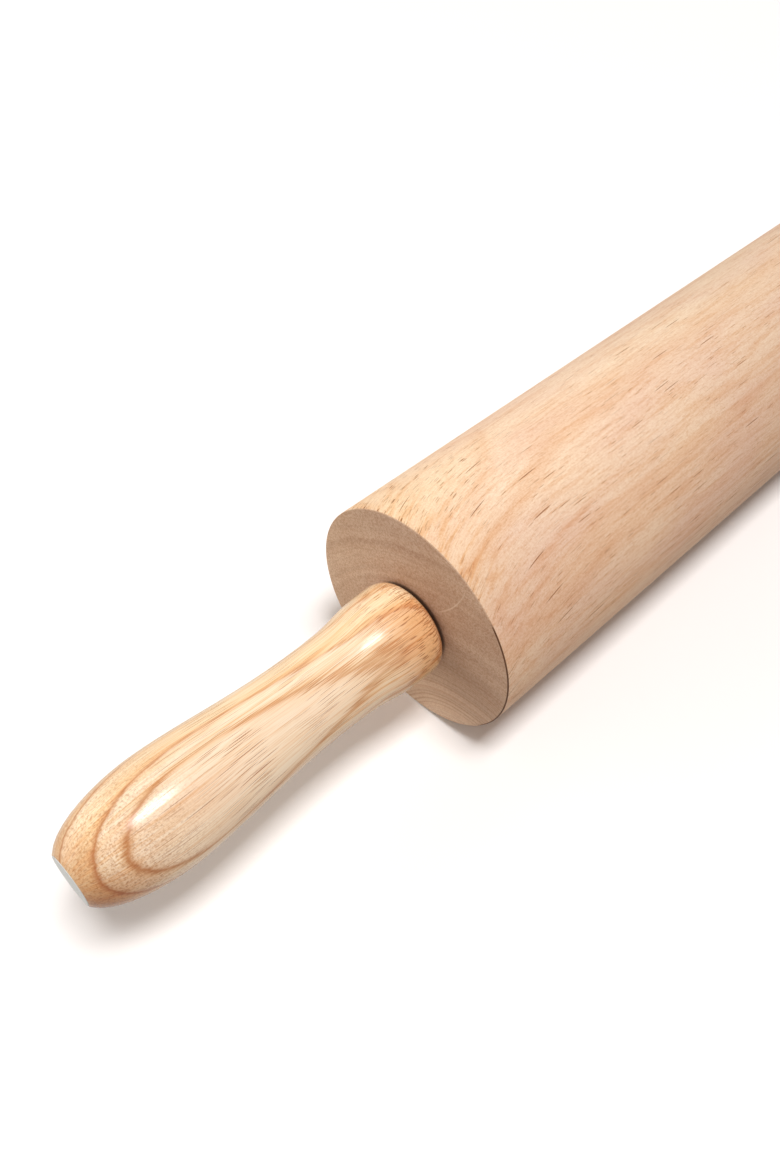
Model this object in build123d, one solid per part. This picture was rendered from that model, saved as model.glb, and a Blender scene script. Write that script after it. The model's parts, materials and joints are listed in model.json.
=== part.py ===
from build123d import *
from math import cos, pi, radians
import os

# A rolling pin with a wooden barrel that runs on ball bearings.
# Units are millimetres. The pin lies along X, and the origin is the middle of the barrel, on its axis.
# The barrel turns on two ball bearings. A stepped steel axle goes through both,
# and the two handles are clamped on its ends by lock nuts, so the handles and the axle turn together.
# Pieces of one end are drawn in that end's own frame:
# x = 0 is the barrel's end face, and x grows outwards, along the handle.

# Barrel
barrel_length = 254.0
barrel_diameter = 70.0
barrel_edge_break = 0.5
bearing_recess = 1.0        # how deep the bearing sits below the barrel's end face
seat_shoulder = 3.0         # width of the wooden step that the bearing rests against

# Handle
handle_length = 107.0
handle_gap = 0.8            # between the handle and the barrel's end face
collar_diameter = 28.8      # the round end beside the barrel
collar_round = 2.6          # rounding of the collar's edge, measured across the axis
collar_round_depth = 4.2    # the same rounding, measured along the axis
waist_diameter = 24.6
grip_diameter = 29.7
tip_wall = 1.95             # wood left around the nut's socket at the handle's outer end
tip_edge_break = 0.25

# Axle
journal_diameter = 6.0      # the stretch that carries the bearing and the handle
core_shoulder = 1.0         # step from the journal up to the thick middle of the axle
thread_shoulder = 0.5       # step from the journal down to the threaded end
thread_setback = 0.5        # the thread starts this much below the washer
thread_tail = 1.5           # thread standing out past the nut
thread_chamfer = 0.5

# Ball bearing
ball_diameter = 3.5
ball_count = 6
inner_ring_wall = 1.46      # metal under the ball groove of the inner ring
outer_ring_wall = 1.48      # metal over the ball groove of the outer ring
groove_depth = 0.7          # how far the balls sit in each groove
cage_wall = 1.2             # thickness of the cage, measured across the axis
cage_web = 0.42             # back of the cage behind a ball's pocket
cage_lip = 1.0              # how far the cage reaches past the balls' middle plane
cage_side_gap = 0.25
shield_thickness = 0.3
shield_inset = 0.25         # from the ring's side face to the shield
shield_rim = 0.45           # how far the shield reaches into the outer ring's step

# Handle bush
bush_wall = 1.2
bush_length = 14.0
bush_flange_margin = 0.3    # the flange stays this much inside the edge of the inner ring

# Lock nut, insert, washer and end cap
nut_wall = 1.5              # from the thread to the nut's flats
nut_height = 3.5            # the hexagon alone
nut_corner = 0.35           # chamfer that takes the sharp corners off the hexagon, on the washer's side
nut_collar_height = 1.2
nut_collar_wall = 0.45
nut_collar_inset = 0.3      # the collar is this much smaller than the hexagon's flats
insert_height = 1.0
socket_gap = 0.58           # room for a socket wrench around the nut's corners
washer_thickness = 1.0
cap_head_edge = 0.3
cap_head_height = 0.8
cap_margin = 0.3            # ring of wood left around the cap's head
cap_stem_length = 4.0
cap_stem_wall = 1.1
cap_stem_chamfer = 0.4
cap_nut_gap = 0.8           # from the cap's stem to the end of the axle

# Clearances, each measured across the axis
press_clearance = 0.01      # pieces pressed or glued together
slide_clearance = 0.03      # a bore pushed over the axle
thread_clearance = 0.02
race_play = 0.02            # between a ball and each groove
pocket_clearance = 0.08     # between a ball and its pocket in the cage
shield_clearance = 0.12     # between a shield and the turning inner ring
washer_clearance = 0.2      # between the washer and the wall of its socket
bore_overrun = 1.0          # a cutting tool goes this far past the wood

# Handle outline. Each pair is a share of the way along a stretch and a share of its change in radius.
waist_reach_share = 0.33    # of the handle's length, from the collar to the waist
grip_reach_share = 0.76     # of the handle's length, from the collar to the thickest place
collar_to_waist_shares = ((0.29, 0.14), (0.484, 0.595), (0.645, 0.843))
waist_to_grip_shares = ((0.522, 0.467),)
grip_to_tip_shares = ((0.504, 0.186), (0.698, 0.371), (0.891, 0.66))
tip_slope_share = 1.1       # fall in radius for each step along, at the very tip

# The ball groove is a little wider than the ball, as a share of the ball's diameter.
groove_share = 0.52

# Radii of the axle
journal_radius = journal_diameter / 2
core_radius = journal_radius + core_shoulder
thread_radius = journal_radius - thread_shoulder

# Radii of the bearing, from the axle outwards
ball_radius = ball_diameter / 2
pocket_radius = ball_radius + pocket_clearance
groove_radius = groove_share * ball_diameter
inner_ring_bore = journal_radius + slide_clearance
inner_groove_floor = inner_ring_bore + inner_ring_wall
inner_ring_land = inner_groove_floor + groove_depth
pitch_radius = inner_groove_floor + race_play + ball_radius
outer_groove_floor = pitch_radius + ball_radius + race_play
outer_ring_land = outer_groove_floor - groove_depth
outer_ring_radius = outer_groove_floor + outer_ring_wall
bearing_seat_radius = outer_ring_radius + press_clearance
barrel_bore_radius = outer_ring_radius - seat_shoulder

# Widths of the bearing, from the balls' middle plane outwards
cage_back = pocket_radius + cage_web
shield_seat = cage_back + cage_side_gap
bearing_half_width = shield_seat + shield_thickness + shield_inset
bearing_width = 2 * bearing_half_width
shield_radius = outer_ring_land + shield_rim

# Places along one end's frame
bearing_face = -bearing_recess
bearing_middle = bearing_face - bearing_half_width
bearing_floor = bearing_face - bearing_width
handle_tip = handle_gap + handle_length

# Radii and places of the fastening at the handle's outer end
nut_flat_radius = thread_radius + nut_wall
nut_corner_radius = nut_flat_radius / cos(radians(30))
socket_radius = nut_corner_radius + socket_gap
washer_radius = socket_radius - washer_clearance
tip_radius = socket_radius + tip_wall
nut_total_height = nut_height + nut_collar_height
axle_end = handle_tip - cap_stem_length - cap_nut_gap
nut_start = axle_end - thread_tail - nut_total_height
socket_floor = nut_start - washer_thickness

# Radii of the bush and of the bores that go over the axle
bush_bore = journal_radius + slide_clearance
bush_radius = bush_bore + bush_wall
bush_flange_radius = inner_ring_land - bush_flange_margin
handle_bore = journal_radius + slide_clearance


def turned(*outline):
    """A solid turned about the X axis from a closed outline of (along, radius) points."""
    return revolve(make_face(Polyline(*outline, close=True)), Axis.X)


def bar(radius, start, end):
    """A plain round bar about the X axis, from start to end."""
    return turned((start, 0), (end, 0), (end, radius), (start, radius))


def tube(bore, radius, start, end):
    """A plain tube about the X axis, from start to end."""
    return turned((start, bore), (end, bore), (end, radius), (start, radius))


def outer_rims(solid):
    """The circular edges of a turned solid that lie furthest from its axis."""
    return solid.edges().filter_by(GeomType.CIRCLE).group_by(SortBy.RADIUS)[-1]


def round_the_axis(count):
    """Places of equal steps around the X axis."""
    return [Rot(X=360 / count * step) for step in range(count)]


def make_barrel():
    """The wooden roller: a cylinder bored through, with a stepped bearing seat in each end."""
    half = barrel_length / 2
    wood = bar(barrel_diameter / 2, -half, half)
    wood = chamfer(outer_rims(wood), barrel_edge_break)
    bore = bar(barrel_bore_radius, -half - bore_overrun, half + bore_overrun)
    seat = bar(bearing_seat_radius, bearing_floor, bore_overrun)
    return wood - bore - at_end(seat, "left") - at_end(seat, "right")


def make_axle():
    """The steel rod: a thick middle, a journal on each side of it and a threaded tip on each journal."""
    half = barrel_length / 2
    steps = (
        (core_radius, half + bearing_floor),
        (journal_radius, half + socket_floor - thread_setback),
        (thread_radius, half + axle_end),
    )
    rod = Part()
    for radius, reach in steps:
        rod += bar(radius, -reach, reach)
    rims = rod.edges().filter_by(GeomType.CIRCLE).sort_by(Axis.X)
    return chamfer([rims[0], rims[-1]], thread_chamfer)


def between(start, end, shares):
    """Points of an outline between two others, from their shares of the run and of the rise."""
    run, rise = end[0] - start[0], end[1] - start[1]
    return [(start[0] + along * run, start[1] + across * rise) for along, across in shares]


def make_handle():
    """The turned handle: a rounded collar, a waist, a swelling grip and a small flat tip."""
    collar_radius = collar_diameter / 2
    face_radius = collar_radius - collar_round
    collar = (handle_gap + collar_round_depth, collar_radius)
    waist = (handle_gap + waist_reach_share * handle_length, waist_diameter / 2)
    grip = (handle_gap + grip_reach_share * handle_length, grip_diameter / 2)
    tip = (handle_tip, tip_radius)
    level = (1, 0)
    falling = (1, -tip_slope_share)
    outline = Polyline(tip, (handle_tip, 0), (handle_gap, 0), (handle_gap, face_radius))
    outline += EllipticalCenterArc(
        (collar[0], face_radius), collar_round_depth, collar_round, 90, arc_size=90
    )
    stretches = (
        (collar, waist, collar_to_waist_shares, level),
        (waist, grip, waist_to_grip_shares, level),
        (grip, tip, grip_to_tip_shares, falling),
    )
    for start, end, shares, heading in stretches:
        outline += Spline(start, *between(start, end, shares), end, tangents=(level, heading))
    wood = revolve(make_face(outline), Axis.X)
    tip_edge = wood.edges().filter_by(GeomType.CIRCLE).sort_by(Axis.X)[-1]
    wood = chamfer(tip_edge, tip_edge_break)
    wood -= bar(handle_bore, handle_gap - bore_overrun, handle_tip)
    wood -= bar(bush_radius + press_clearance, handle_gap - bore_overrun, handle_gap + bush_length)
    wood -= bar(socket_radius, socket_floor, handle_tip + bore_overrun)
    return wood


def make_handle_bush():
    """The plastic bush in the handle's inner end, with the flange that keeps handle and barrel apart."""
    return turned(
        (bearing_face, bush_bore),
        (handle_gap + bush_length, bush_bore),
        (handle_gap + bush_length, bush_radius),
        (handle_gap, bush_radius),
        (handle_gap, bush_flange_radius),
        (bearing_face, bush_flange_radius),
    )


def make_washer():
    """The plain washer between the nut and the floor of its socket."""
    return tube(thread_radius + slide_clearance, washer_radius, socket_floor, nut_start)


def make_lock_nut():
    """The hexagon nut with its round collar, whose recess holds the nylon insert."""
    hexagon = RegularPolygon(nut_flat_radius, 6, major_radius=False)
    prism = extrude(Plane.YZ.offset(nut_start) * hexagon, nut_height)
    blank = turned(
        (nut_start, 0),
        (nut_start + nut_height, 0),
        (nut_start + nut_height, nut_corner_radius),
        (nut_start + nut_corner, nut_corner_radius),
        (nut_start, nut_corner_radius - nut_corner),
    )
    collar_radius = nut_flat_radius - nut_collar_inset
    top = nut_start + nut_total_height
    nut = prism & blank
    nut += bar(collar_radius, nut_start, top)
    nut -= bar(thread_radius + thread_clearance, nut_start - bore_overrun, top + bore_overrun)
    nut -= bar(collar_radius - nut_collar_wall, top - insert_height, top + bore_overrun)
    return nut


def make_nut_insert():
    """The nylon ring that grips the thread, inside the nut's collar."""
    recess_radius = nut_flat_radius - nut_collar_inset - nut_collar_wall
    top = nut_start + nut_total_height
    return tube(thread_radius + thread_clearance, recess_radius - press_clearance, top - insert_height, top)


def make_end_cap():
    """The domed plug over the nut: a low dome on the handle's flat tip and a hollow stem in the socket."""
    head_radius = tip_radius - cap_margin
    stem_radius = socket_radius - press_clearance
    stem_end = handle_tip - cap_stem_length
    apex = (handle_tip + cap_head_height, 0)
    rim = (handle_tip + cap_head_edge, head_radius)
    dome = TangentArc(apex, rim, tangent=(0, 1))
    body = Polyline(
        rim,
        (handle_tip, head_radius),
        (handle_tip, stem_radius),
        (stem_end + cap_stem_chamfer, stem_radius),
        (stem_end, stem_radius - cap_stem_chamfer),
        (stem_end, stem_radius - cap_stem_wall),
        (handle_tip, stem_radius - cap_stem_wall),
        (handle_tip, 0),
        apex,
    )
    return revolve(make_face(dome + body), Axis.X)


def make_outer_ring():
    """The bearing's outer ring, with a ball groove and a step on each side for a shield."""
    side, seat = bearing_half_width, shield_seat
    section = make_face(
        Polyline(
            (-seat, outer_ring_land),
            (seat, outer_ring_land),
            (seat, shield_radius + press_clearance),
            (side, shield_radius + press_clearance),
            (side, outer_ring_radius),
            (-side, outer_ring_radius),
            (-side, shield_radius + press_clearance),
            (-seat, shield_radius + press_clearance),
            close=True,
        )
    )
    groove = Pos(0, outer_groove_floor - groove_radius) * Circle(groove_radius)
    return Pos(bearing_middle) * revolve(section - groove, Axis.X)


def make_inner_ring():
    """The bearing's inner ring, with its ball groove."""
    wall = inner_ring_land - inner_ring_bore
    section = Pos(0, inner_ring_bore + wall / 2) * Rectangle(bearing_width, wall)
    groove = Pos(0, inner_groove_floor + groove_radius) * Circle(groove_radius)
    return Pos(bearing_middle) * revolve(section - groove, Axis.X)


def make_balls():
    """The balls of one bearing, as separate solids."""
    ball = Pos(bearing_middle, pitch_radius) * Sphere(ball_radius)
    return [place * ball for place in round_the_axis(ball_count)]


def make_cage():
    """The crown-shaped cage: a ring with a bored pocket for each ball, open on one side."""
    crown = tube(pitch_radius - cage_wall / 2, pitch_radius + cage_wall / 2, -cage_back, cage_lip)
    pocket = Pos(0, pitch_radius) * Rot(X=90) * Cylinder(pocket_radius, 2 * cage_wall)
    crown -= [place * pocket for place in round_the_axis(ball_count)]
    return Pos(bearing_middle) * crown


def make_shield():
    """The dust shield: a flat ring of sheet steel, held by its rim in the outer ring's step."""
    lip = inner_ring_land + shield_clearance
    return tube(lip, shield_radius, shield_seat, shield_seat + shield_thickness)


def at_end(piece, side):
    """Carry a piece from its end's own frame to that end of the barrel."""
    if side == "right":
        return Pos(barrel_length / 2) * piece
    return Pos(-barrel_length / 2) * Rot(Z=180) * piece


def one_end():
    """All the pieces of one end, by name, in the end's own frame."""
    shield = make_shield()
    return {
        "handle": [make_handle()],
        "handle_bush": [make_handle_bush()],
        "axle_washer": [make_washer()],
        "lock_nut": [make_lock_nut()],
        "nut_insert": [make_nut_insert()],
        "end_cap": [make_end_cap()],
        "bearing_outer_ring": [make_outer_ring()],
        "bearing_inner_ring": [make_inner_ring()],
        "bearing_balls": make_balls(),
        "ball_cage": [make_cage()],
        "outer_shield": [Pos(bearing_middle) * shield],
        "inner_shield": [Pos(bearing_middle) * Rot(Z=180) * shield],
    }


def rolling_pin():
    """Every piece of the rolling pin: its name and its solids."""
    pieces = {"barrel": [make_barrel()], "axle_rod": [make_axle()]}
    end_pieces = one_end()
    for side in ("left", "right"):
        for name, solids in end_pieces.items():
            pieces[f"{side}_{name}"] = [at_end(solid, side) for solid in solids]
    return pieces


os.makedirs("parts", exist_ok=True)
for name, solids in rolling_pin().items():
    shape = solids[0] if len(solids) == 1 else Compound(solids)
    export_step(shape, f"parts/{name}.step")

# Share of the handles' turn that the balls make, for balls that roll between a still ring and a turning one
orbit_share = inner_groove_floor / (inner_groove_floor + outer_groove_floor)
print(f"balls orbit at {orbit_share:.5f} of the handles' turn")
print(f"room between neighbouring balls {2 * pi * pitch_radius / ball_count - ball_diameter:.2f} mm")
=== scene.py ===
import json
from math import pi, radians
import bmesh
import bpy
from mathutils import Matrix, Vector


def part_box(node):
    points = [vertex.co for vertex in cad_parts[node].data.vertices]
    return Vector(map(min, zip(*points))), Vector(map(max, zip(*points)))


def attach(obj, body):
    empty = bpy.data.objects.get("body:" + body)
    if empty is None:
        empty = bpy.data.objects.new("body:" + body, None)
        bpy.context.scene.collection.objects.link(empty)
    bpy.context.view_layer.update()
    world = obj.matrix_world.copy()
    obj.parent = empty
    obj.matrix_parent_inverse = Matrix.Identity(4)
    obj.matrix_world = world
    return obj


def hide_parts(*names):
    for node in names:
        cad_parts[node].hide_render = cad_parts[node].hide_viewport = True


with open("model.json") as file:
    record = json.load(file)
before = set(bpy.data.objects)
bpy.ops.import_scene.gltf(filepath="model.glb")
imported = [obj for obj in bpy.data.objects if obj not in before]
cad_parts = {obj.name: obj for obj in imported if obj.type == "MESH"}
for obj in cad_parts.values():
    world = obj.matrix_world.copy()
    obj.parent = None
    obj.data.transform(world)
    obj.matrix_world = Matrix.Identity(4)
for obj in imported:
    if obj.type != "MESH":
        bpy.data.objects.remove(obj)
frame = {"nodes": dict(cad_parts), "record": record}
bpy.context.view_layer.update()
print("stage: frame loaded")

mm = 0.001
inMillimetres = (1000, 1000, 1000)  # turns a place in metres into millimetres
quarterRound = 0.5523  # handle length that makes a curve follow a quarter of a unit circle
mergeDistance = 1e-7
outlineSteps = 10  # straight bits in each curved stretch of an outline


# Colours are written as the eye reads them and turned into light values here

def paint(code):
    parts = [int(code[i:i + 2], 16) / 255 for i in (0, 2, 4)]
    return [p / 12.92 if p <= 0.04045 else ((p + 0.055) / 1.055) ** 2.4 for p in parts] + [1]


# Shader maths as plain expressions

class Wire:
    def __init__(self, nodes, socket):
        self.nodes = nodes
        self.socket = socket

    def maths(self, operation, *values):
        sockets = dict(enumerate(values))
        return self.nodes.add("ShaderNodeMath", {"operation": operation}, sockets)

    def __add__(self, other):
        return self.maths("ADD", self, other)

    def __radd__(self, other):
        return self.maths("ADD", other, self)

    def __sub__(self, other):
        return self.maths("SUBTRACT", self, other)

    def __rsub__(self, other):
        return self.maths("SUBTRACT", other, self)

    def __mul__(self, other):
        return self.maths("MULTIPLY", self, other)

    def __rmul__(self, other):
        return self.maths("MULTIPLY", other, self)

    def __truediv__(self, other):
        return self.maths("DIVIDE", self, other)

    def __rtruediv__(self, other):
        return self.maths("DIVIDE", other, self)

    def __pow__(self, other):
        return self.maths("POWER", self, other)

    def __rpow__(self, other):
        return self.maths("POWER", other, self)

    def __neg__(self):
        return self.maths("MULTIPLY", -1, self)

    def size(self):
        return self.maths("ABSOLUTE", self)

    def most(self, other):
        return self.maths("MAXIMUM", self, other)

    def angle(self, other):  # turn about the pin's axis, in radians
        return self.maths("ARCTAN2", self, other)

    def rise(self, low, high):  # 0 below low, 1 above high, smooth between
        settings = {"interpolation_type": "SMOOTHSTEP"}
        sockets = {0: self, 1: low, 2: high, 3: 0, 4: 1}
        return self.nodes.add("ShaderNodeMapRange", settings, sockets)

    def bell(self, middle, width):  # 1 at middle, falling off smoothly on both sides
        return 1 - (self - middle).size().rise(0, width)


class Nodes:  # the node tree of a finish or of the sky
    def __init__(self, tree):
        self.tree = tree

    def feed(self, socket, value):
        if isinstance(value, Wire):
            self.tree.links.new(value.socket, socket)
        else:
            socket.default_value = value

    def add(self, kind, settings=None, sockets=None, take=0):  # take: the output that goes on
        node = self.tree.nodes.new(kind)
        for name, value in (settings or {}).items():
            if name == "stops":
                self.setStops(node.color_ramp, value)
            else:
                setattr(node, name, value)
        for name, value in (sockets or {}).items():
            self.feed(node.inputs[name], value)
        return Wire(self, node.outputs[take])

    def setStops(self, ramp, stops):
        while len(ramp.elements) < len(stops):
            ramp.elements.new(1)
        for element, (position, colour) in zip(ramp.elements, stops):
            element.position = position
            element.color = paint(colour)

    def seenBy(self, shares):  # how much of the ray is of these kinds
        total = 0
        for ray, share in shares.items():
            total = total + share * self.add("ShaderNodeLightPath", take=ray)
        return total


class Finish(Nodes):
    def __init__(self, name):
        self.material = bpy.data.materials.new(name)
        self.material.use_nodes = True
        super().__init__(self.material.node_tree)
        self.place = self.add("ShaderNodeTexCoord", take="Object")

    def mapped(self, place, shift=(0, 0, 0), turn=(0, 0, 0), scale=(1, 1, 1)):
        return self.add("ShaderNodeMapping", None, {0: place, 1: shift, 2: turn, 3: scale})

    def split(self, place):
        first = self.add("ShaderNodeSeparateXYZ", None, {0: place})
        return [Wire(self, part) for part in first.socket.node.outputs]

    def joined(self, x, y, z):
        return self.add("ShaderNodeCombineXYZ", None, {0: x, 1: y, 2: z})

    def noise(self, place, scale, detail, roughness=0.5):
        sockets = {"Vector": place, "Scale": scale, "Detail": detail, "Roughness": roughness}
        return self.add("ShaderNodeTexNoise", None, sockets)

    def cells(self, place, take):
        settings = {"voronoi_dimensions": "2D"}
        return self.add("ShaderNodeTexVoronoi", settings, {"Vector": place, "Scale": 1}, take)

    def ramp(self, value, stops):
        return self.add("ShaderNodeValToRGB", {"stops": stops}, {0: value})

    def mix(self, amount, first, second, how="MIX"):  # 6, 7 and output 2 are the colour sockets
        settings = {"data_type": "RGBA", "blend_type": how}
        return self.add("ShaderNodeMix", settings, {0: amount, 6: first, 7: second}, take=2)

    def cover(self, colour, amount, code):
        return self.mix(amount, colour, paint(code))

    def tint(self, colour, amount, code):  # like a stain, which lets the colour below through
        return self.mix(amount, colour, paint(code), "MULTIPLY")

    def bump(self, height, depth):
        sockets = {"Strength": 1, "Distance": depth, "Height": height}
        return self.add("ShaderNodeBump", None, sockets)

    def wear(self, values):
        shader = self.tree.nodes["Principled BSDF"]
        for socket, value in values.items():
            self.feed(shader.inputs[socket], value)
        return self.material


def putIn(name, data):
    thing = bpy.data.objects.new(name, data)
    bpy.context.scene.collection.objects.link(thing)
    return thing


# Turned pieces: an outline of (along, radius) points is spun about the pin's axis

def bezierOutline(rows):
    curve = bpy.data.curves.new("outline", "CURVE")
    curve.dimensions = "2D"
    curve.resolution_u = outlineSteps
    spline = curve.splines.new("BEZIER")
    spline.bezier_points.add(len(rows) - 1)
    for point, row in zip(spline.bezier_points, rows):
        along, radius = row["at"]
        before, after = row.get("before", (0, 0)), row.get("after", (0, 0))
        point.co = (along, radius, 0)
        point.handle_left_type = point.handle_right_type = "FREE"
        point.handle_left = (along - before[0], radius - before[1], 0)
        point.handle_right = (along + after[0], radius + after[1], 0)
    spline.use_cyclic_u = True
    holder = bpy.data.objects.new("outline", curve)
    mesh = bpy.data.meshes.new_from_object(holder)
    bpy.data.objects.remove(holder)
    return mesh


def turned(name, rows, material, body, replaces, around, end):
    shape = bmesh.new()
    shape.from_mesh(bezierOutline(rows))
    bmesh.ops.remove_doubles(shape, verts=shape.verts, dist=mergeDistance)
    bmesh.ops.spin(shape, geom=shape.verts[:] + shape.edges[:], cent=(0, 0, 0), axis=(1, 0, 0),
                   angle=2 * pi, steps=around, use_merge=True)
    bmesh.ops.remove_doubles(shape, verts=shape.verts, dist=mergeDistance)
    if end == "left":
        bmesh.ops.rotate(shape, verts=shape.verts, matrix=Matrix.Rotation(pi, 3, "Z"))
    bmesh.ops.recalc_face_normals(shape, faces=shape.faces)
    for face in shape.faces:
        face.smooth = True
    mesh = bpy.data.meshes.new(name)
    shape.to_mesh(mesh)
    shape.free()
    mesh.materials.append(material)
    piece = putIn(name, mesh)
    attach(piece, body)
    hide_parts(*replaces)


def straight(*points):
    return [{"at": point} for point in points]


def mirrored(rows):  # the same outline at the other end of the pin, drawn on from the first
    other = []
    for row in reversed(rows):
        before, after = row.get("before", (0, 0)), row.get("after", (0, 0))
        other.append({"at": (-row["at"][0], row["at"][1]), "before": (after[0], -after[1]),
                      "after": (before[0], -before[1])})
    return other


# The barrel: a bare wooden cylinder, bored through, with a bearing's seat in each end

barrelSizes = {
    "half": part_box("barrel")[1].x,
    "radius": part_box("barrel")[1].z,
    "arris": 0.3 * mm,
    "support": 0.25 * mm,  # a strip beside the arris that keeps the shading of the rest flat
    "bore": 6.51 * mm,
    "seat": 9.52 * mm,
    "seatDepth": 7 * mm,
    "around": 256,
}


def barrelOutline(s):
    half, radius, arris = s["half"], s["radius"], s["arris"]
    floor = half - s["seatDepth"]
    pull = quarterRound * arris
    end = (
        straight((floor, s["bore"]), (floor, s["seat"]), (half, s["seat"]),
                 (half, radius - arris - s["support"]))
        + [
            {"at": (half, radius - arris), "after": (0, pull)},
            {"at": (half - arris, radius), "before": (-pull, 0)},
        ]
        + straight((half - (arris + s["support"]), radius))
    )
    return end + mirrored(end)


# The handle: rounded collar, waist, swelling grip and a small flat tip

handleSizes = {
    "gap": 0.8 * mm,
    "length": 107 * mm,
    "collarRadius": 14.4 * mm,
    "collarRound": (4.2 * mm, 2.6 * mm),
    "waistShare": 0.33,
    "waistRadius": 12.3 * mm,
    "gripShare": 0.76,
    "gripRadius": 14.85 * mm,
    "tipRadius": 7.149 * mm,
    "tipSlope": 1.4,
    "tipRound": 0.3 * mm,
    "tipLead": 0.2,  # the rounding of the tip, in shares of tipRound
    "tipPulls": {"after": (0.15, -0.25), "before": (0, -0.5)},
    "pulls": {"fromCollar": 0.56, "toWaist": 0.70, "fromWaist": 0.42, "toGrip": 0.30,
              "fromGrip": 0.34, "toTip": 0.26},  # how far each curve keeps its direction
    "bushRadius": 4.24 * mm,
    "bushDepth": 14 * mm,
    "bore": 3.03 * mm,
    "socketRadius": 5.2 * mm,
    "socketFloor": 95.8 * mm,
    "collarSupport": 0.3 * mm,
    "tipSupport": 0.2 * mm,
    "around": 192,
}


def handleOutline(s, start):
    pulls, edge = s["pulls"], s["tipRound"]
    faceX, tipX = start + s["gap"], start + s["gap"] + s["length"]
    bushX, socketX = faceX + s["bushDepth"], start + s["socketFloor"]
    deep, high = s["collarRound"]
    collarX, faceRadius = faceX + deep, s["collarRadius"] - high
    waistX = faceX + s["waistShare"] * s["length"]
    gripX = faceX + s["gripShare"] * s["length"]
    toWaist, toGrip, toTip = waistX - collarX, gripX - waistX, tipX - gripX
    reach = pulls["toTip"] * toTip / (1 + s["tipSlope"] ** 2) ** 0.5
    lead = s["tipLead"] * edge
    tipPulls = {way: [part * edge for part in pull] for way, pull in s["tipPulls"].items()}
    return (
        straight((bushX, s["bore"]), (bushX, s["bushRadius"]), (faceX, s["bushRadius"]),
                 (faceX, faceRadius - s["collarSupport"]))
        + [
            {"at": (faceX, faceRadius), "after": (0, quarterRound * high)},
            {"at": (collarX, s["collarRadius"]), "before": (quarterRound * deep, 0),
             "after": (pulls["fromCollar"] * toWaist, 0)},
            {"at": (waistX, s["waistRadius"]), "before": (pulls["toWaist"] * toWaist, 0),
             "after": (pulls["fromWaist"] * toGrip, 0)},
            {"at": (gripX, s["gripRadius"]), "before": (pulls["toGrip"] * toGrip, 0),
             "after": (pulls["fromGrip"] * toTip, 0)},
            {"at": (tipX - lead, s["tipRadius"] + lead * s["tipSlope"]),
             "before": (reach, -reach * s["tipSlope"]), "after": tipPulls["after"]},
            {"at": (tipX, s["tipRadius"] - edge), "before": tipPulls["before"]},
        ]
        + straight((tipX, s["tipRadius"] - edge - s["tipSupport"]), (tipX, s["socketRadius"]),
                   (socketX, s["socketRadius"]), (socketX, s["bore"]))
    )


# Woods. A solid grain runs through each piece, measured in millimetres: u runs along the
# fibres, v across them and w outwards through the growth layers

def threads(wood, place, length, width, seed):  # stretches a pattern along the fibres
    return wood.mapped(place, shift=(seed, seed, seed), scale=(1 / length, 1 / width, 1 / width))


def grainPattern(wood, place, row, seed=0):
    length, width, ownSeed, detail, roughness = row
    spread = threads(wood, place, length, width, seed + ownSeed)
    return wood.noise(spread, 1, detail, roughness)


poreCore = 0.6  # the share of a pore's thickness that is darkest
poreChance = (0.2, 0.8)  # the lots at which a cell's pore starts to show and is whole


def poreMarks(wood, place, row, seed=0):  # open pores: how dark, from 0 to 1
    length, width, ownSeed, thin, dark = row
    spread = threads(wood, place, length, width, seed + ownSeed)
    fromPore = wood.cells(spread, take="Distance")
    lot = wood.split(wood.cells(spread, take="Color"))[0]  # each cell draws its own
    return dark * (1 - fromPore.rise(poreCore * thin, thin)) * lot.rise(*poreChance)


def graded(row, pattern):  # an amount, and what a pattern adds to it
    return row[0] + row[1] * pattern


def streaked(wood, colour, patterns, rows):  # stains the colour where each pattern is high
    for name, (low, high, amount, code) in rows.items():
        colour = wood.tint(colour, amount * patterns[name].rise(low, high), code)
    return colour


# Pairs in zones, heights and marks say where something starts and where it is full. Pairs in
# amounts and in roughness give an amount and what a pattern adds to it

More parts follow.
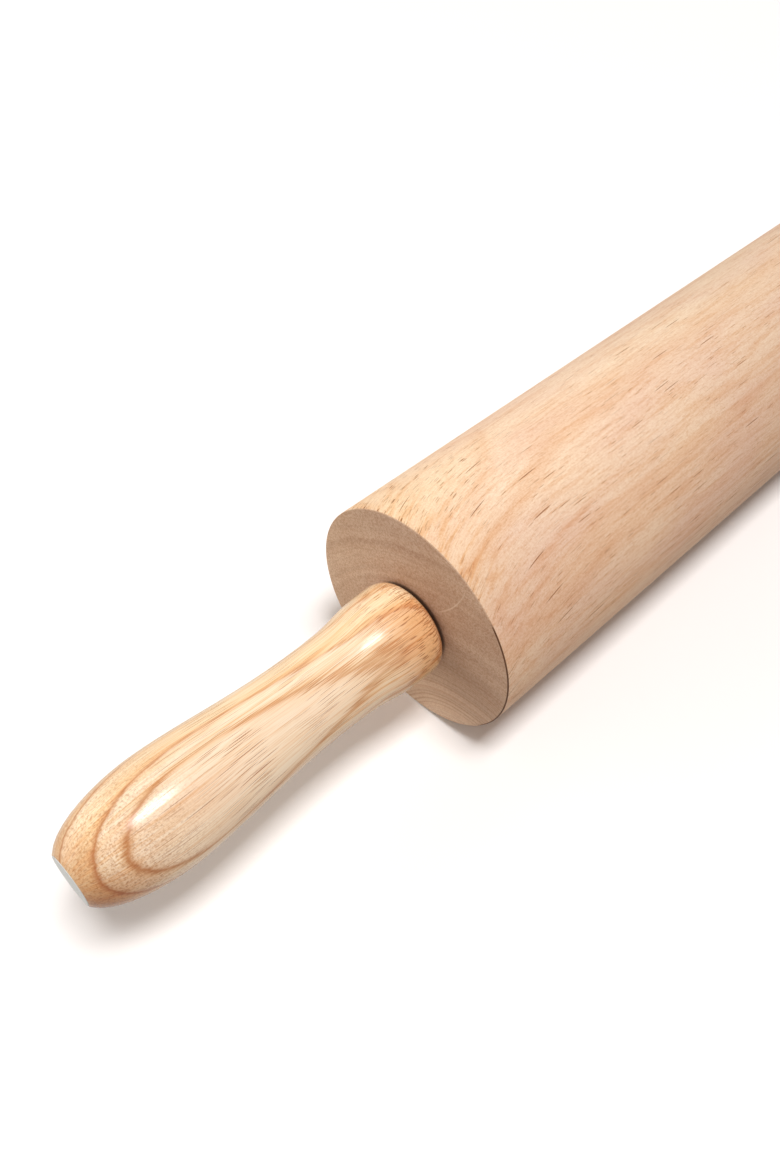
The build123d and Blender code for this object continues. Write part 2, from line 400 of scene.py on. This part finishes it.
handleWood = {
    # tipBrownAndShade: how strongly the underside of each tip is painted browner, as darker wood
    # and painted shade
    "left": {"middle": -185, "outward": -1, "turn": 50, "bend": 0.00222, "tipBrownAndShade": 1, "seed": 0},
    "right": {"middle": 178, "outward": 1, "turn": -35, "bend": 0.0016, "tipBrownAndShade": 0.2,
              "seed": 40},
    "meanRadius": 13,
    "depth": 0.12,  # how much the pattern on the surface changes with the depth
    "swayBy": 0.9,
    "wander": {"sway": 0.4, "ripple": 0.9, "strand": 2.6, "band": 0.8, "calmTip": 0.8},
    "zones": {  # outwards or, for the collar, inwards from the handle's middle
        "tip": (8, 46), "underTipBrownAndShade": (26, 50), "tipEnd": (40, 48), "collar": (34, 52),
        "collarEnd": (48, 57),
    },
    "underside": (-4, 9),  # across the fibres
    "heights": {"toned": (2, 8), "tonedEnd": (9.6, 10.4), "pale": (9.5, 11)},  # in the stick
    "layerSpan": 15,
    "layers": [  # height in the stick, colour of the wood there
        (-15, "F2D0A6"), (-8, "F7DEB8"), (-2.6, "F4D4AA"), (-2.0, "E8BC8C"), (-1.7, "FBE0BC"),
        (0.5, "FCE2BC"), (2.4, "FCE0B8"), (4.3, "FADBB0"), (5.0, "F7D0A0"), (5.5, "F4CCA0"),
        (5.75, "E4B080"), (6.0, "FCE6CA"), (7.0, "FDE7C8"), (8.3, "FCE4C6"), (9.3, "F8D8B0"),
        (9.8, "DEAA78"), (10.05, "FBE0C0"), (11.2, "FCE4C8"), (12.6, "FAE0C2"), (15, "FBE2C8"),
    ],
    "lateWood": {9.7: 0.95, 5.7: 0.85, -2.0: 0.6},  # dark lines: height and half width
    "sway": (28, 9, 0, 1, 0.5),  # length, width, seed, detail, roughness of a pattern
    "ripple": (7, 2.5, 12, 2, 0.5),
    "grain": {
        "strand": (50, 0.3, 0, 2, 0.5),
        "fibre": (16, 0.3, 2, 3, 0.6),
        "band": (90, 1.2, 5, 1, 0.5),
        "patch": (22, 7, 9, 2, 0.5),
    },
    "speckle": {"scale": 1.8, "detail": 4, "roughness": 0.75},
    "marks": {"band": (0.52, 0.62), "speckle": (0.47, 0.61)},  # in the pattern's own values
    "streaks": {  # where in the pattern's values, how strong, colour
        "strand": (0.52, 0.6, 0.45, "EED0AC"),
        "fibre": (0.5, 0.62, 0.34, "EAD0B0"),
        "patch": (0.4, 0.75, 0.3, "F8E0D0"),
    },
    "pores": {  # length and width of a pore's cell, seed, thickness as a share of it, darkness
        "fine": (22, 0.34, 0, 0.16, 0.9),
        "middling": (30, 0.5, 3, 0.15, 1),
        "long": (80, 1.2, 4, 0.08, 1),
        "short": (5, 0.45, 6, 0.28, 0.9),
        "specks": (1.8, 0.8, 7, 0.25, 0.5),
    },
    "amounts": {
        "lateWood": (0.3, 0.4), "broken": (0.6, 0.6), "collar": 0.78, "band": (0.2, 0.25),
        "dense": (0.75, 0.25), "fewerAtTip": 0.6, "pore": 0.9, "speckle": 0.64,
    },
    "colours": {"lateWood": "C89A6A", "collar": "EEC698", "band": "FAE2C6", "tipEnd": "E9DCD0",
                "pore": "924814", "speckle": "BA7E4A", "underTipBrownAndShade": "CA9C6C"},
    "roughness": (0.15, 0.08),
    "relief": 0.013 * mm,
    "poreDepth": 0.5,
    "shine": 0.4,
}


def handleLayers(wood, s, grain, arch, tip):
    wander, span, amounts = s["wander"], s["layerSpan"], s["amounts"]
    jagged = wander["strand"] * (grain["strand"] - 0.5) + wander["band"] * (grain["band"] - 0.5)
    layer = arch + jagged * (1 - wander["calmTip"] * tip)
    stops = [((height + span) / (2 * span), code) for height, code in s["layers"]]
    colour = wood.ramp((layer + span) / (2 * span), stops)
    line = 0
    for height, width in s["lateWood"].items():
        line = line + layer.bell(height, width)
    line = line * graded(amounts["broken"], grain["speckle"])
    return wood.tint(colour, graded(amounts["lateWood"], tip) * line, s["colours"]["lateWood"])


def handlePores(wood, s, skin, seed, pale, tip, collar, cut):
    pore = {name: poreMarks(wood, skin, row, seed) for name, row in s["pores"].items()}
    dense = graded(s["amounts"]["dense"], pale.most(collar))
    pores = pore["fine"].most(pore["middling"]).most(pore["long"]) * dense
    pores = pores * (1 - s["amounts"]["fewerAtTip"] * tip)
    return pores.most(collar * pore["short"]).most(cut * pore["specks"])


def makeHandleWood(side, s):
    stick, zones, heights, amounts = s[side], s["zones"], s["heights"], s["amounts"]
    seed, wander, colours = stick["seed"], s["wander"], s["colours"]
    wood = Finish(f"{side}HandleWood")
    centred = wood.mapped(wood.place, shift=(-stick["middle"], 0, 0), scale=inMillimetres)
    squared = wood.mapped(centred, turn=(radians(-stick["turn"]), 0, 0))
    sway = grainPattern(wood, squared, s["sway"], seed) - 0.5
    aside = s["swayBy"] * sway
    u, v, w = wood.split(squared)
    around = s["meanRadius"] * v.angle(w)
    deep = (v * v + w * w) ** 0.5
    skin = wood.joined(u, around + aside, s["depth"] * deep)  # follows the turned surface
    local = wood.joined(u, v + aside, w + aside)
    outward = stick["outward"] * u
    tip = outward.rise(*zones["tip"])
    collar = (-outward).rise(*zones["collar"])
    cut = tip.most((-outward).rise(*zones["collarEnd"]))  # where the lathe cut across the fibres

    grain = {name: grainPattern(wood, skin, row, seed) for name, row in s["grain"].items()}
    grain["speckle"] = wood.noise(local, **s["speckle"])
    ripple = grainPattern(wood, squared, s["ripple"], seed) - 0.5
    arch = w - stick["bend"] * u * u + wander["sway"] * sway + wander["ripple"] * tip * ripple
    colour = handleLayers(wood, s, grain, arch, tip)
    toned = collar * arch.rise(*heights["toned"]) * (1 - arch.rise(*heights["tonedEnd"]))
    colour = wood.tint(colour, amounts["collar"] * toned, colours["collar"])
    golden = 1 - arch.rise(*heights["pale"])
    bands = grain["band"].rise(*s["marks"]["band"]) * graded(amounts["band"], golden)
    colour = wood.tint(colour, bands, colours["band"])
    colour = streaked(wood, colour, grain, s["streaks"])
    colour = wood.tint(colour, outward.rise(*zones["tipEnd"]), colours["tipEnd"])

    pores = handlePores(wood, s, skin, seed, 1 - golden, tip, collar, cut)
    colour = wood.cover(colour, amounts["pore"] * pores, colours["pore"])
    speckled = amounts["speckle"] * cut * grain["speckle"].rise(*s["marks"]["speckle"])
    colour = wood.cover(colour, speckled, colours["speckle"])
    # the underside of the tip is painted browner, partly for its darker end grain and partly as
    # painted shade where it faces away from the lamps
    underTipBrownAndShade = stick["tipBrownAndShade"] * outward.rise(*zones["underTipBrownAndShade"]) * (-v).rise(*s["underside"])
    colour = wood.tint(colour, underTipBrownAndShade, colours["underTipBrownAndShade"])
    relief = grain["fibre"] + grain["strand"] - s["poreDepth"] * pores
    return wood.wear({"Base Color": colour, "Roughness": graded(s["roughness"], grain["fibre"]),
                      "Specular IOR Level": s["shine"], "Normal": wood.bump(relief, s["relief"])})


barrelWood = {
    "half": barrelSizes["half"] / mm,
    "radius": barrelSizes["radius"] / mm,
    "pith": (-25.5, -49.5),  # the tree's middle, seen from the barrel's axis
    "swayBy": {"fibres": 2.2, "rings": 3},
    "endBend": {"length": 50, "fibres": 10, "rings": 7},  # the grain turns near the left end
    "dip": {"at": (-120, 14, 31), "flat": 0.6, "reach": (4, 30)},  # fibres dive below the skin
    "zones": {  # along u, across v or up w
        "farEndShade": (-90, 50), "nearSideShade": (4, 32), "honeyAlong": (2, 22), "honeyUp": (8, 28),
        "chipsAlong": (0.5, 5), "chipsUp": (8, 26),
    },
    "honeySlant": 0.4,
    "sway": (70, 22, 3, 1, 0.5),  # length, width, seed, detail, roughness of a pattern
    "grain": {
        "cloud": (45, 16, 7, 3, 0.5),
        "strand": (10, 0.6, 2, 4, 0.65),
        "fibre": (2.2, 0.4, 5, 3, 0.65),
        "coarse": (19, 1.7, 11, 4, 0.5),
    },
    "growth": {  # drift along the barrel, scale, detail, roughness
        "rings": (0.01, 0.3, 3, 0.6),
        "lines": (0.02, 1.5, 1, 0.5),
    },
    "mottle": {"scale": 1.8, "detail": 4, "roughness": 0.8},
    "marks": {"honey": (0.4, 0.6), "cluster": (0.48, 0.62), "flecks": (0.1, 0.7)},
    "base": [(0.3, "F9DFC2"), (0.5, "F5D9BE"), (0.68, "F2D3BB")],
    "streaks": {  # where in the pattern's values, how strong, colour
        "rings": (0.42, 0.66, 0.5, "F2DCC8"),
        "lines": (0.45, 0.7, 0.1, "E0BC98"),
        "coarse": (0.48, 0.66, 0.34, "EDD0B0"),
        "strand": (0.5, 0.64, 0.28, "E6CCB0"),
        "fibre": (0.5, 0.68, 0.34, "E2C2A2"),
        "mottle": (0.4, 0.62, 0.42, "EAD2BC"),
    },
    "pores": {  # length and width of a pore's cell, seed, thickness as a share of it, darkness
        "fine": (10, 0.8, 1, 0.15, 0.65),
        "middling": (40, 1.4, 2, 0.085, 0.9),
        "long": (90, 3.2, 4, 0.05, 1),
        "flecks": (6, 0.75, 6, 0.22, 1),
        "chips": (3, 0.9, 8, 0.32, 1),
    },
    "amounts": {"honey": (0.2, 0.5), "dip": 0.6, "pore": 0.9, "crowded": (0.32, 0.68),
                "flecks": (0.4, 0.6)},
    "colours": {"farEndShade": "EDEDED", "nearSideShade": "F2EBE8", "honey": "F2D4A8", "dip": "FDE2BC",
                "pore": "8E5628"},
    "roughness": (0.5, 0.15),
    "relief": 0.03 * mm,
    "shine": 0.3,
    "endGrain": {
        "depths": (0.4, 0.2),  # below the end face
        "collarGapShade": (12, 13.2),  # painted shade: a dark ring on the end face in the gap round the handle's collar
        "low": (30, 58),  # from the pith
        "farSide": (0, 30),
        "shade": (-30, 34),
        "shadeSlant": 1.2,
        "marks": {"mottle": (0.4, 0.62), "lines": (0.42, 0.6)},
        "streaks": {
            "cloud": (0.35, 0.65, 0.25, "E0CCBE"),
            "rings": (0.4, 0.6, 0.34, "D6C8BE"),
        },
        "amounts": {"mottle": (0.7, -0.32), "lines": (0.12, 0.4), "check": 0.45, "collarGapShade": 0.8},
        "colours": {"light": "F5D9BF", "dark": "D4B69E", "mottle": "D4BCA8", "farSide": "F4F1EC",
                    "lines": "E0C8B4", "check": "F2DCC4", "collarGapShade": "5A4436"},
        "check": {"at": (-7.2, 10), "along": (-0.515, 0.857), "across": (0.857, 0.515),
                  "length": 22, "bow": 2.2, "width": 0.35},  # a fine pale crack
    },
    "rim": {  # darker on the arris, with a darker line along one side of the left end's arris
        "depths": {"side": (0.4, 0.25), "face": (0.35, 0.2)},  # below the skin and the end face
        "amount": 0.25, "colour": "A8805C",
        "darkLineAcross": (26, 30), "darkLineAlong": (-1, 1), "darkLineTo": 0.6, "darkLine": "5C3A22",
    },
}


def under(size, depths):  # places that lie so far below a surface
    return [size - depth for depth in depths]


def barrelGrain(wood, s, local, u, v, w):
    swayBy, endBend = s["swayBy"], s["endBend"]
    sway = grainPattern(wood, local, s["sway"]) - 0.5
    nearEnd = (1 - (u + s["half"]) / endBend["length"]).most(0)
    bent = swayBy["fibres"] * sway + endBend["fibres"] * nearEnd ** 3
    fibres = wood.joined(u, v + bent, w + swayBy["fibres"] * sway)
    skin = wood.joined(u, s["radius"] * v.angle(w) + bent, 0)
    fromPith = ((v - s["pith"][0]) ** 2 + (w - s["pith"][1]) ** 2) ** 0.5
    ring = fromPith + swayBy["rings"] * sway + endBend["rings"] * nearEnd
    grain = {name: grainPattern(wood, fibres, row) for name, row in s["grain"].items()}
    for name, (drift, scale, detail, roughness) in s["growth"].items():
        grain[name] = wood.noise(wood.joined(ring, drift * u, 0), scale, detail, roughness)
    grain["mottle"] = wood.noise(local, **s["mottle"])
    return grain, skin, fromPith


def barrelPores(wood, s, grain, skin, u, w, dip):
    pore = {name: poreMarks(wood, skin, row) for name, row in s["pores"].items()}
    cluster = grain["coarse"].rise(*s["marks"]["cluster"])
    pores = pore["fine"].most(pore["middling"]) * graded(s["amounts"]["crowded"], cluster)
    flecks = dip.rise(*s["marks"]["flecks"]) * graded(s["amounts"]["flecks"], cluster)
    nearRim = 1 - (u + s["half"]).rise(*s["zones"]["chipsAlong"])
    chips = pore["chips"] * nearRim * w.rise(*s["zones"]["chipsUp"]) * cluster
    return pores.most(pore["long"]).most(flecks * pore["flecks"]).most(chips)


def barrelSide(wood, s, grain, u, v, w, dip):
    zones, amounts, colours = s["zones"], s["amounts"], s["colours"]
    colour = wood.ramp(grain["cloud"], s["base"])
    # painted shade: the barrel is painted greyer towards its far (+u) end, standing in for the
    # lamps' light falling off there
    colour = wood.tint(colour, u.rise(*zones["farEndShade"]), colours["farEndShade"])
    # painted shade: the side turned towards -v is painted darker, standing in for less light
    # falling there
    colour = wood.tint(colour, (-v).rise(*zones["nearSideShade"]), colours["nearSideShade"])
    honey = 1 - (u + s["half"]).rise(*zones["honeyAlong"])
    honey = honey * (w + s["honeySlant"] * v).rise(*zones["honeyUp"])
    honey = honey * graded(amounts["honey"], grain["coarse"].rise(*s["marks"]["honey"]))
    colour = wood.tint(colour, honey, colours["honey"])
    colour = wood.cover(colour, amounts["dip"] * dip, colours["dip"])
    return streaked(wood, colour, grain, s["streaks"])


def crack(s, v, w):  # a bowed line across the end grain
    fromStart = (v - s["at"][0], w - s["at"][1])
    share = (fromStart[0] * s["along"][0] + fromStart[1] * s["along"][1]) / s["length"]
    beside = fromStart[0] * s["across"][0] + fromStart[1] * s["across"][1]
    bowed = beside + 4 * s["bow"] * share * (1 - share)  # by the whole bow at half its length
    return bowed.bell(0, s["width"]) * share.bell(0.5, 0.6)


def barrelEnd(wood, s, grain, v, w, fromAxis, fromPith):
    marks, amounts, colours = s["marks"], s["amounts"], s["colours"]
    low = 1 - fromPith.rise(*s["low"])
    # painted shade: the end face is painted darker towards its top and its -v side and lighter
    # low down, evening out how the light falls on it
    shade = (s["shadeSlant"] * w - v).rise(*s["shade"])
    colour = wood.mix(shade, paint(colours["light"]), paint(colours["dark"]))
    mottled = graded(amounts["mottle"], low) * grain["mottle"].rise(*marks["mottle"])
    colour = wood.tint(colour, mottled, colours["mottle"])
    colour = wood.tint(colour, v.rise(*s["farSide"]), colours["farSide"])
    lined = graded(amounts["lines"], low) * grain["lines"].rise(*marks["lines"])
    colour = wood.tint(colour, lined, colours["lines"])
    colour = streaked(wood, colour, grain, s["streaks"])
    colour = wood.cover(colour, amounts["check"] * crack(s["check"], v, w), colours["check"])
    # painted shade in the gap between the handle's collar and the end face
    return wood.cover(colour, amounts["collarGapShade"] * (1 - fromAxis.rise(*s["collarGapShade"])), colours["collarGapShade"])


def barrelRim(wood, s, colour, mottle, v, left, rim):
    darkLine = (-v).rise(*s["darkLineAcross"]) * left * (0.5 + mottle)
    colour = wood.cover(colour, s["amount"] * rim, s["colour"])
    return wood.cover(colour, rim * darkLine.rise(0, s["darkLineTo"]), s["darkLine"])


def makeBarrelWood(s):
    wood = Finish("barrelWood")
    local = wood.mapped(wood.place, scale=inMillimetres)
    u, v, w = wood.split(local)
    fromAxis = (v ** 2 + w ** 2) ** 0.5
    flat, (dipU, dipV, dipW) = s["dip"]["flat"], s["dip"]["at"]
    fromDip = ((flat * u - flat * dipU) ** 2 + (v - dipV) ** 2 + (w - dipW) ** 2) ** 0.5
    dip = 1 - fromDip.rise(*s["dip"]["reach"])
    grain, skin, fromPith = barrelGrain(wood, s, local, u, v, w)
    pores = barrelPores(wood, s, grain, skin, u, w, dip)
    colour = barrelSide(wood, s, grain, u, v, w, dip)
    colour = wood.cover(colour, s["amounts"]["pore"] * pores, s["colours"]["pore"])
    endColour = barrelEnd(wood, s["endGrain"], grain, v, w, fromAxis, fromPith)
    onEnd = u.size().rise(*under(s["half"], s["endGrain"]["depths"]))
    colour = wood.mix(onEnd, colour, endColour)
    onRim = fromAxis.rise(*under(s["radius"], s["rim"]["depths"]["side"]))
    onRim = onRim * u.size().rise(*under(s["half"], s["rim"]["depths"]["face"]))
    atLeft = 1 - u.rise(*s["rim"]["darkLineAlong"])
    colour = barrelRim(wood, s["rim"], colour, grain["mottle"], v, atLeft, onRim)
    relief = wood.bump(grain["fibre"] - pores, s["relief"])
    return wood.wear({"Base Color": colour, "Roughness": graded(s["roughness"], grain["fibre"]),
                      "Specular IOR Level": s["shine"], "Normal": relief})


turned("wooden_barrel", barrelOutline(barrelSizes), makeBarrelWood(barrelWood), "barrel",
       ["barrel"], barrelSizes["around"], "right")
for side in ("left", "right"):
    outline = handleOutline(handleSizes, barrelSizes["half"])
    turned(f"{side}_turned_handle", outline, makeHandleWood(side, handleWood), "handles",
           [f"{side}_handle"], handleSizes["around"], side)
print("stage: wooden pieces")

# End caps: a thin domed head on a hollow stem that is pressed into the handle

capSizes = {
    "seat": barrelSizes["half"] + handleSizes["gap"] + handleSizes["length"],
    "radius": 6.85 * mm,
    "edge": 0.14 * mm,
    "dome": 0.14 * mm,
    "stemRadius": 5.19 * mm,
    "stemWall": 1.1 * mm,
    "stemLength": 4 * mm,
    "chamfer": 0.4 * mm,
    "edgeStart": 0.4,
    "pulls": {"edge": 0.5, "down": 0.1, "in": 0.3, "centre": 0.5},  # of the head's curves
    "around": 96,
}
capFinish = {
    "colour": "CDD1D0",
    "scuffed": "B4B6B4",
    "scuffs": {"scale": 0.5, "detail": 4, "roughness": 0.7},
    "scuffMarks": (0.5, 0.75),
    "scuffedBy": 0.3,
    "grain": {"scale": 3, "detail": 3},
    "roughness": (0.28, 0.2),
    "relief": 0.01 * mm,
}


def capOutline(s):
    seat, stem, root = s["seat"], s["stemRadius"], s["seat"] - s["stemLength"]
    inner, rim = stem - s["stemWall"], s["radius"] - s["edge"]
    edge, dome, pulls = s["edge"], s["dome"], s["pulls"]
    return (
        straight((seat, 0), (seat, inner), (root, inner), (root, stem - s["chamfer"]),
                 (root + s["chamfer"], stem), (seat, stem), (seat, s["radius"]))
        + [
            {"at": (seat + s["edgeStart"] * edge, s["radius"]),
             "after": (pulls["edge"] * edge, 0)},
            {"at": (seat + edge, rim), "before": (0, -pulls["edge"] * edge),
             "after": (pulls["down"] * dome, -pulls["in"] * rim)},
            {"at": (seat + edge + dome, 0), "before": (0, -pulls["centre"] * rim)},
        ]
    )


def makeCapPlastic(s):
    plastic = Finish("capPlastic")
    local = plastic.mapped(plastic.place, scale=inMillimetres)
    grain = plastic.noise(local, **s["grain"])
    scuff = plastic.noise(local, **s["scuffs"]).rise(*s["scuffMarks"])
    return plastic.wear({
        "Base Color": plastic.cover(paint(s["colour"]), s["scuffedBy"] * scuff, s["scuffed"]),
        "Roughness": graded(s["roughness"], scuff),
        "Normal": plastic.bump(grain, s["relief"]),
    })


capPlastic = makeCapPlastic(capFinish)
for side in ("left", "right"):
    turned(f"{side}_pressed_cap", capOutline(capSizes), capPlastic, "handles",
           [f"{side}_end_cap"], capSizes["around"], side)
print("stage: end caps")

# Finishes of the pieces that keep their shape

plainFinishes = {
    "axle_steel": {"colour": "B4B6B8", "metallic": 1, "roughness": 0.35},
    "bearing_steel": {"colour": "BEBEC0", "metallic": 1, "roughness": 0.18},
    "shield_steel": {"colour": "A8A8AA", "metallic": 1, "roughness": 0.35},
    "cage_plastic": {"colour": "E4DECE", "metallic": 0, "roughness": 0.5},
    "bush_plastic": {"colour": "E2DED2", "metallic": 0, "roughness": 0.5},
    "insert_nylon": {"colour": "46629E", "metallic": 0, "roughness": 0.5},
}
plainGrain = {"scale": 1.5, "detail": 3, "amount": 0.25, "tone": "8C8C8C", "dulled": (0.8, 0.4)}


def makePlain(name, s, fine):
    finish = Finish(name)
    local = finish.mapped(finish.place, scale=inMillimetres)
    grain = finish.noise(local, fine["scale"], fine["detail"])
    colour = finish.tint(paint(s["colour"]), fine["amount"] * grain, fine["tone"])
    roughness = s["roughness"] * graded(fine["dulled"], grain)
    return finish.wear({"Base Color": colour, "Metallic": s["metallic"], "Roughness": roughness})


finishes = {slot: makePlain(slot, s, plainGrain) for slot, s in plainFinishes.items()}
for row in frame["record"]["subparts"]:
    if row["material_slot"] in finishes:
        materials = frame["nodes"][row["node"]].data.materials
        materials.clear()
        materials.append(finishes[row["material_slot"]])
print("stage: finishes")

# Floor, lights and camera

stageSizes = {
    "floor": -0.035,
    "reach": 6,
    "roughness": 0.9,
    "paperSeen": (0.99, 0.96, 0.948, 1),  # in light values
    "spread": 0.12,  # how fast the paper is lightened away from the pin, where the lamps fall off
    "paper": "C4C0BB",
    "sky": "FFFDFA",
    "skyStrength": 0.28,
    "seenBy": {"Is Camera Ray": 1, "Is Glossy Ray": 0.35, "Is Transmission Ray": 1},
}


def makeFloor(s):
    shape = bmesh.new()
    bmesh.ops.create_grid(shape, x_segments=1, y_segments=1, size=s["reach"])
    bmesh.ops.translate(shape, verts=shape.verts, vec=(0, 0, s["floor"]))
    mesh = bpy.data.meshes.new("floor")
    shape.to_mesh(mesh)
    shape.free()
    finish = Finish("paper")
    x, y = finish.split(finish.place)[:2]
    even = (1 + s["spread"] * (x * x + y * y)) ** 2
    white = finish.mix(1, s["paperSeen"], even, "MULTIPLY")
    colour = finish.mix(finish.seenBy(s["seenBy"]), paint(s["paper"]), white)
    values = {"Base Color": colour, "Roughness": s["roughness"], "Specular IOR Level": 0}
    mesh.materials.append(finish.wear(values))
    putIn("floor", mesh)


def makeSky(s):
    world = bpy.data.worlds.new("studio")
    bpy.context.scene.world = world
    world.use_nodes = True
    sky = Nodes(world.node_tree)
    seen = sky.seenBy(dict.fromkeys(s["seenBy"], 1))
    soft = sky.add("ShaderNodeBackground", None, {0: paint(s["sky"]), 1: s["skyStrength"]})
    white = sky.add("ShaderNodeBackground", None, {0: paint("FFFFFF"), 1: 1})
    both = sky.add("ShaderNodeMixShader", None, {0: seen, 1: soft, 2: white})
    sky.feed(world.node_tree.nodes["World Output"].inputs["Surface"], both)


lamps = {
    "window": {"at": (-1.14, 1.15, 0.6), "aim": (-0.1, 0, 0), "size": (2.0, 1.2),
               "power": 13, "colour": "FFFDF8"},
    "softBox": {"at": (-0.2, -0.54, 2.33), "aim": (-0.17, 0, 0), "size": (0.95, 0.62),
                "power": 46, "colour": "FFFFFF"},
}


def aimed(at, aim):  # faces aim, with its own x as near the pin's axis as it goes
    back = (Vector(at) - Vector(aim)).normalized()
    across = (Vector((1, 0, 0)) - back.x * back).normalized()
    return Matrix((across, back.cross(across), back)).transposed().to_euler()


def makeLamp(name, s):
    lamp = bpy.data.lights.new(name, "AREA")
    lamp.shape = "RECTANGLE"
    lamp.size, lamp.size_y = s["size"]
    lamp.energy = s["power"]
    lamp.color = paint(s["colour"])[:3]
    holder = putIn(name, lamp)
    holder.location = s["at"]
    holder.rotation_euler = aimed(s["at"], s["aim"])


view = {"at": (-0.2524, -0.1203, 0.2101), "aim": (-0.1219, 0.0135, 0), "lens": 30.62, "film": 36,
        "nearest": 0.01}


def makeCamera(s):
    camera = bpy.data.cameras.new("camera")
    camera.lens = s["lens"]
    camera.sensor_width = s["film"]
    camera.clip_start = s["nearest"]
    holder = putIn("camera", camera)
    holder.location = s["at"]
    ahead = Vector(s["aim"]) - Vector(s["at"])
    holder.rotation_euler = ahead.to_track_quat("-Z", "Y").to_euler()
    bpy.context.scene.camera = holder


makeFloor(stageSizes)
makeSky(stageSizes)
for name, s in lamps.items():
    makeLamp(name, s)
makeCamera(view)
bpy.context.scene.view_settings.view_transform = "Standard"
print("stage: floor, lights and camera")

bpy.context.view_layer.update()
